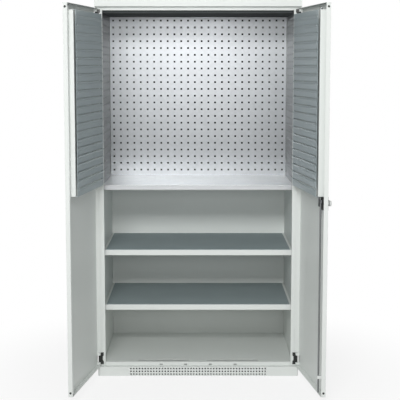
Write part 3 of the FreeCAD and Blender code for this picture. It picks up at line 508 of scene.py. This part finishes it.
def louvre_panel(side):
    """One folded sheet, each row pressed out of it as a rising lip above an open slot."""
    node = f"louvre_panel_{SIDES[side]}"
    low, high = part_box(node)
    start = LOUVRE_START
    end = LOUVRE_START + LOUVRE_WIDTH
    mesh = bmesh.new()
    bmesh.ops.create_grid(mesh, x_segments=1, y_segments=1, size=UNIT_GRID)
    place = Matrix.Translation(((start + end) / 2, LOUVRE_FACE - SHEET / 2, (low.z + high.z) / 2))
    size = Matrix.Diagonal((LOUVRE_WIDTH, 1, high.z - low.z, 1))
    bmesh.ops.transform(mesh, matrix=place @ size @ FACE_OUT["front"], verts=mesh.verts)
    folded = [edge for edge in mesh.edges if min(vert.co.x for vert in edge.verts) < end - MILLIMETRE]
    pushed(mesh, folded, (0, -LOUVRE_FOLD, 0))
    mesh.normal_update()
    for across in (start + LOUVRE_SIDE, end - LOUVRE_SIDE):
        split_front(mesh, (across, 0, 0), (1, 0, 0))
    first_slot = low.z + LOUVRE_MARGIN + (HOLE_PITCH - LOUVRE_SLOT) / 2
    slot_feet = [first_slot + row * HOLE_PITCH for row in range(LOUVRE_ROWS)]
    for slot_foot in slot_feet:
        split_front(mesh, (0, 0, slot_foot), (0, 0, 1))
        split_front(mesh, (0, 0, slot_foot + LOUVRE_SLOT), (0, 0, 1))
    gone = []
    for face in mesh.faces:
        middle = face.calc_center_median()
        in_front = abs(face.normal.y) > FACING_SHARE
        between = start + LOUVRE_SIDE < middle.x < end - LOUVRE_SIDE
        in_slot = any(slot_foot < middle.z < slot_foot + LOUVRE_SLOT for slot_foot in slot_feet)
        if in_front and between and in_slot:
            gone.append(face)
    bmesh.ops.delete(mesh, geom=gone, context="FACES")
    lips = []
    for edge in mesh.edges:
        first, second = [vert.co.z for vert in edge.verts]
        level = abs(first - second) < CLOSE
        at_foot = any(abs((first + second) / 2 - slot_foot) < CLOSE for slot_foot in slot_feet)
        if edge.is_boundary and level and at_foot:
            lips.append(edge)
    pushed(mesh, lips, *LIP_STEPS)
    bmesh.ops.recalc_face_normals(mesh, faces=mesh.faces)
    bmesh.ops.solidify(mesh, geom=mesh.faces[:], thickness=SHEET)
    make(mesh, f"{node}_sheet", DOOR_BODY[side], "dark_grey_paint", (node,), on_door(side))


for door_side in SIDES:
    louvre_panel(door_side)


# Plinth front and the vents of the floor.
GRILLE_COLUMNS = 48
GRILLE_ROWS = 3
GRILLE_PITCH = 0.015
GRILLE_HOLE = 0.0075
PLINTH_CORNER = 0.008
PLINTH_CORNER_STEPS = 6
PLINTH_SHEET = 0.0012
PLINTH_FOOT = 0.020
SIDEWAYS_SHARE = 0.02
VENT_START = 0.046
VENT_LENGTH = 0.270
VENT_FRONT = 0.0302
VENT_WIDTH = 0.025
VENT_COLUMNS = 36
VENT_ROWS = 3
VENT_BAR = 0.0016


def plinth_front():
    """A folded channel with a vent grille of small square holes."""
    low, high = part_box("plinth_front")
    tall = high.z - low.z
    half = GRILLE_COLUMNS * GRILLE_PITCH / 2
    rise = GRILLE_ROWS * GRILLE_PITCH / 2
    flat = high.x - PLINTH_CORNER
    mesh = bmesh.new()
    holed_sheet(mesh, GRILLE_COLUMNS, GRILLE_ROWS, GRILLE_PITCH, GRILLE_PITCH, GRILLE_PITCH - GRILLE_HOLE)
    for vert in mesh.verts:
        if abs(abs(vert.co.y) - rise) < CLOSE:
            vert.co.y = math.copysign(tall / 2, vert.co.y)
    upright = Matrix.Translation((0, low.y, tall / 2)) @ FACE_OUT["front"]
    bmesh.ops.transform(mesh, matrix=upright, verts=mesh.verts)
    for side in SIDES:
        start = (side * half, low.y, low.z)
        bend = (side * flat, low.y, low.z)
        end = (side * high.x, high.y, low.z)
        centre = (side * flat, low.y + PLINTH_CORNER, low.z)
        axis = (0, 0, side)
        path = bent_line(mesh, start, bend, end, centre, axis, QUARTER_TURN, PLINTH_CORNER_STEPS)[0]
        pushed(mesh, path, (0, 0, tall))
    bmesh.ops.recalc_face_normals(mesh, faces=mesh.faces)
    for face in mesh.faces:
        outward = face.calc_center_median() - Vector((0, high.y, tall / 2))
        if face.normal.dot(Vector((outward.x * SIDEWAYS_SHARE, outward.y, 0))) < 0:
            face.normal_flip()
    bmesh.ops.solidify(mesh, geom=mesh.faces[:], thickness=PLINTH_SHEET)
    behind = low.y + PLINTH_SHEET
    plate(mesh, (-flat, behind, high.z - PLINTH_SHEET), (flat, high.y, high.z))
    plate(mesh, (-flat, behind, low.z), (flat, low.y + PLINTH_FOOT, low.z + PLINTH_SHEET))
    make(mesh, "plinth_front_grille", "carcass", "light_grey_paint", ("plinth_front",))


def vent_meshes():
    """Fine mesh that fills the two long slots at the front of the floor."""
    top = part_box("floor_panel")[1].z
    cell_width = VENT_LENGTH / VENT_COLUMNS
    cell_height = VENT_WIDTH / VENT_ROWS
    mesh = bmesh.new()
    for side in SIDES:
        middle = (side * (VENT_START + VENT_LENGTH / 2), VENT_FRONT + VENT_WIDTH / 2, top - SHEET)
        verts = holed_sheet(mesh, VENT_COLUMNS, VENT_ROWS, cell_width, cell_height, VENT_BAR)
        bmesh.ops.translate(mesh, vec=middle, verts=verts)
    bmesh.ops.solidify(mesh, geom=mesh.faces[:], thickness=SHEET / 2)
    make(mesh, "floor_vent_meshes", "carcass", "light_grey_paint")


plinth_front()
vent_meshes()


# Plugs and caps.
DOOR_EDGE = 0.5165
DOOR_MIDDLE = -0.003
PLUG_RADIUS = 0.0055
PLUG_RISE = 0.001
PLUG_INSET = 0.019
PLUG_SEGMENTS = 20
PLUG_ROUND_SHARE = 0.6
PLUG_ROUND_STEPS = 2
CAP_PLACE = 0.5095
CAP_INSET = 0.010
STRIP_FACE = 0.0095
JAMB_FACE = 0.0152
JAMB_PLUG_ASIDE = 0.496
JAMB_PLUG_HEIGHTS = (0.187, 0.585)
JAMB_PLUG_RADIUS = 0.0035


def plug(mesh, spot, facing, radius):
    """A low round head with a softened rim."""
    place = Matrix.Translation(spot) @ FACE_OUT[facing]
    middle = place @ Matrix.Translation((0, 0, PLUG_RISE / 2))
    made = bmesh.ops.create_cone(mesh, cap_ends=True, segments=PLUG_SEGMENTS, radius1=radius,
                                 radius2=radius, depth=PLUG_RISE, matrix=middle)["verts"]
    top = [vert for vert in made if (place.inverted() @ vert.co).z > PLUG_RISE - HAIR]
    rim = [edge for edge in edges_of(top) if all(vert in top for vert in edge.verts)]
    round_off(mesh, rim, PLUG_RISE * PLUG_ROUND_SHARE, PLUG_ROUND_STEPS)


def door_plugs(side):
    """Black plugs near the ends of a door's free edge, and the caps of the left door's closing strip."""
    low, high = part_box(f"door_{SIDES[side]}")
    mesh = bmesh.new()
    for height in (low.z + PLUG_INSET, high.z - PLUG_INSET):
        plug(mesh, (DOOR_EDGE, DOOR_MIDDLE, height), "u", PLUG_RADIUS)
    if side == LEFT:
        for height in (low.z + CAP_INSET, high.z - CAP_INSET):
            plug(mesh, (CAP_PLACE, STRIP_FACE, height), "q", PLUG_RADIUS)
    make(mesh, f"door_plugs_{SIDES[side]}", DOOR_BODY[side], "black_fittings", (), on_door(side))


def jamb_plugs():
    """Small painted plugs in the jambs, level with the shelves."""
    mesh = bmesh.new()
    for side in SIDES:
        for height in JAMB_PLUG_HEIGHTS:
            plug(mesh, (side * JAMB_PLUG_ASIDE, JAMB_FACE, height), "front", JAMB_PLUG_RADIUS)
    make(mesh, "jamb_plugs", "carcass", "light_grey_paint")


for door_side in SIDES:
    door_plugs(door_side)
jamb_plugs()


# Hinge lugs.
KNUCKLE = 0.005
KNUCKLE_STEPS = 12
PIN_BORE = 0.00255
PIN_BORE_SEGMENTS = 24
LUG_FOOT = -0.0128
LUG_TALL = 0.013
HEIGHT_DIGITS = 5


def hinge_lugs(side):
    """Rounded eyes that carry a door on its pins, at the heights of the solid ones."""
    node = f"hinge_lugs_{SIDES[side]}"
    heights = sorted({round(vert.co.z, HEIGHT_DIGITS) for vert in NODES[node].data.vertices})
    mesh = bmesh.new()
    for height in heights[::2]:
        start = (KNUCKLE, LUG_FOOT, height)
        bend = (KNUCKLE, 0, height)
        end = (-KNUCKLE, LUG_FOOT, height)
        centre = (0, 0, height)
        axis = (0, 0, 1)
        outline, first, last = bent_line(mesh, start, bend, end, centre, axis, HALF_TURN, KNUCKLE_STEPS)
        outline.append(mesh.edges.new((last, first)))
        bore = bmesh.ops.create_circle(mesh, cap_ends=False, segments=PIN_BORE_SEGMENTS, radius=PIN_BORE,
                                       matrix=Matrix.Translation(centre))["verts"]
        bottom = bmesh.ops.bridge_loops(mesh, edges=outline + edges_of(bore))["faces"]
        thickened(mesh, bottom, (0, 0, LUG_TALL))
    make(mesh, f"{node}_eyes", DOOR_BODY[side], "light_grey_paint", (node,), on_door(side))


for door_side in SIDES:
    hinge_lugs(door_side)


# Turn handle.
LOCK_U = 0.490
LOCK_Z = JOINTS["handle_turn"]["pos_m"][UP]
GRIP_LENGTH = 0.054
GRIP_HEIGHT = 0.026
GRIP_DEPTH = 0.010
GRIP_ROUND = 0.0035
GRIP_ROUND_STEPS = 4
HUB_RADIUS = 0.012
HUB_DEPTH = 0.004
SPINDLE_RADIUS = 0.005
CYLINDER_BORE = 0.00705
CYLINDER_DEPTH = 0.0115
HANDLE_SEGMENTS = 48


def handle_ring(mesh, radius):
    return bmesh.ops.create_circle(mesh, cap_ends=False, segments=HANDLE_SEGMENTS, radius=radius)["verts"]


def turn_handle():
    """A rounded grip with a bore for the lock cylinder, its hub and its spindle.

    It is built with z pointing out of the door and the grip's outer face at zero, then stood on the door.
    """
    corners = [on_door(RIGHT).inverted() @ vert.co for vert in NODES["turn_handle"].data.vertices]
    outer = min(corner.y for corner in corners)
    inner = max(corner.y for corner in corners)
    mesh = bmesh.new()
    bore = handle_ring(mesh, CYLINDER_BORE)
    rim = handle_ring(mesh, GRIP_HEIGHT / 2)
    for vert in rim:
        if abs(vert.co.x) > HAIR:
            vert.co.x += math.copysign((GRIP_LENGTH - GRIP_HEIGHT) / 2, vert.co.x)
    rim_edges = edges_of(rim)
    face = bmesh.ops.bridge_loops(mesh, edges=rim_edges + edges_of(bore))["faces"]
    thickened(mesh, face, (0, 0, -GRIP_DEPTH))
    round_off(mesh, rim_edges, GRIP_ROUND, GRIP_ROUND_STEPS)
    hub_back = -GRIP_DEPTH - HUB_DEPTH
    spindle_end = outer - inner
    spine = [
        (0, -CYLINDER_DEPTH),
        (CYLINDER_BORE, -CYLINDER_DEPTH),
        (CYLINDER_BORE, -GRIP_DEPTH),
        (HUB_RADIUS, -GRIP_DEPTH),
        (HUB_RADIUS, hub_back),
        (SPINDLE_RADIUS, hub_back),
        (SPINDLE_RADIUS, spindle_end),
        (0, spindle_end),
    ]
    verts = [mesh.verts.new((radius, 0, depth)) for radius, depth in spine]
    profile = [mesh.edges.new(pair) for pair in zip(verts, verts[1:])]
    bmesh.ops.spin(mesh, geom=verts + profile, cent=(0, 0, 0), axis=(0, 0, 1), angle=FULL_TURN,
                   steps=HANDLE_SEGMENTS, use_merge=True)
    place = on_door(RIGHT) @ Matrix.Translation((LOCK_U, outer, LOCK_Z)) @ FACE_OUT["front"]
    make(mesh, "turn_handle_grip", "handle", "handle_grey", ("turn_handle",), place)


turn_handle()


# Stage: camera, floor, sky and lamps.
IMAGE_WIDTH = 400
FOCAL_PIXELS = 1006.9
SENSOR_WIDTH = 36
CAMERA_ASIDE = 0.010
CAMERA_AWAY = 5.151
CAMERA_HEIGHT = 1.635
CAMERA_TILT = math.radians(6.41)
CAMERA_SHIFT = 0.06
FLOOR_REACH = 14
FLOOR_FADE = {"From Min": 0.6, "From Max": 1.6, "To Min": 0.8, "To Max": 1.0}
PLINTH_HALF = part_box("plinth_front")[1].x - PLINTH_CORNER
PLINTH_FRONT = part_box("plinth_front")[0].y + PLINTH_SHEET
PLINTH_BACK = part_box("plinth_rear")[1].y - PLINTH_SHEET
SKY_LIGHT_SHARE = 0.47
LAMPS = {
    "key": {
        "place": (-0.6, -5.2, 3.4),
        "aim": (0, 0.3, 1.0),
        "width": 2.0,
        "height": 0.8,
        "power": 155,
        "spread": HALF_TURN,
    },
    "panel": {
        "place": (-0.1, -5.6, 2.0),
        "aim": (0, 0.5, 1.6),
        "width": 0.8,
        "height": 0.6,
        "power": 3.4,
        "spread": math.radians(60),
    },
}


def stage_camera():
    data = bpy.data.cameras.new("camera")
    data.sensor_width = SENSOR_WIDTH
    data.lens = FOCAL_PIXELS / IMAGE_WIDTH * SENSOR_WIDTH
    data.shift_y = -CAMERA_SHIFT
    camera = bpy.data.objects.new("camera", data)
    camera.location = (CAMERA_ASIDE, -CAMERA_AWAY, CAMERA_HEIGHT)
    camera.rotation_euler = (QUARTER_TURN - CAMERA_TILT, 0, 0)
    bpy.context.scene.collection.objects.link(camera)
    bpy.context.scene.camera = camera


def seen_directly(finish):
    """One where a camera, mirror or glass ray arrives, zero for the light that a surface sends on."""
    camera_ray = finish.node("ShaderNodeLightPath", {}, {}, "Is Camera Ray")
    glossy_ray = finish.node("ShaderNodeLightPath", {}, {}, "Is Glossy Ray")
    transmission_ray = finish.node("ShaderNodeLightPath", {}, {}, "Is Transmission Ray")
    return camera_ray + glossy_ray + transmission_ray


def floor_paint():
    """A pale floor, white where it is seen directly, that keeps the shadow and is matt under the plinth."""
    coat = Finish("pale floor", "ShaderNodeMixShader")
    matt = coat.node("ShaderNodeBsdfDiffuse", {}, {"Color": FLOOR_GREY})
    glow = coat.node("ShaderNodeEmission", {}, {"Color": WHITE, "Strength": 1.0})
    away = coat.node("ShaderNodeVectorMath", {"operation": "LENGTH"}, {0: coat.places()}, "Value")
    smooth = {"interpolation_type": "SMOOTHSTEP"}
    fade = coat.node("ShaderNodeMapRange", smooth, {"Value": away, **FLOOR_FADE})
    beside = coat.along("X").unsigned().above(PLINTH_HALF)
    behind = coat.along("Y").above(PLINTH_BACK)
    before = coat.along("Y").below(PLINTH_FRONT)
    outside = beside.larger(behind).larger(before)
    coat.set(MIX_SHARE_SLOT, seen_directly(coat) * fade * outside)
    for slot, value in zip(MIX_SHADER_SLOTS, (matt, glow)):
        coat.set(slot, value)
    return coat.material


def stage_floor():
    mesh = bmesh.new()
    bmesh.ops.create_grid(mesh, x_segments=1, y_segments=1, size=FLOOR_REACH)
    data = bpy.data.meshes.new("floor")
    mesh.to_mesh(data)
    mesh.free()
    data.materials.append(floor_paint())
    floor = bpy.data.objects.new("floor", data)
    bpy.context.scene.collection.objects.link(floor)


class Sky(Finish):
    """The world's nodes: white where seen directly, and a share of that as light on the object."""

    def __init__(self, light_share):
        world = bpy.data.worlds.new("studio")
        bpy.context.scene.world = world
        world.use_nodes = True
        self.start(world.node_tree, "ShaderNodeOutputWorld", "ShaderNodeBackground")
        self.set("Color", WHITE)
        self.set("Strength", seen_directly(self) * (1 - light_share) + light_share)


def stage_lamp(name, place, aim, width, height, power, spread):
    data = bpy.data.lights.new(name, "AREA")
    data.shape = "RECTANGLE"
    data.spread = spread
    data.size = width
    data.size_y = height
    data.energy = power
    obj = bpy.data.objects.new(name, data)
    obj.location = place
    obj.rotation_euler = (Vector(aim) - Vector(place)).to_track_quat("-Z", "Y").to_euler()
    bpy.context.scene.collection.objects.link(obj)


stage_camera()
stage_floor()
Sky(SKY_LIGHT_SHARE)
for lamp_name, lamp_values in LAMPS.items():
    stage_lamp(lamp_name, **lamp_values)
bpy.context.scene.view_settings.view_transform = "Standard"
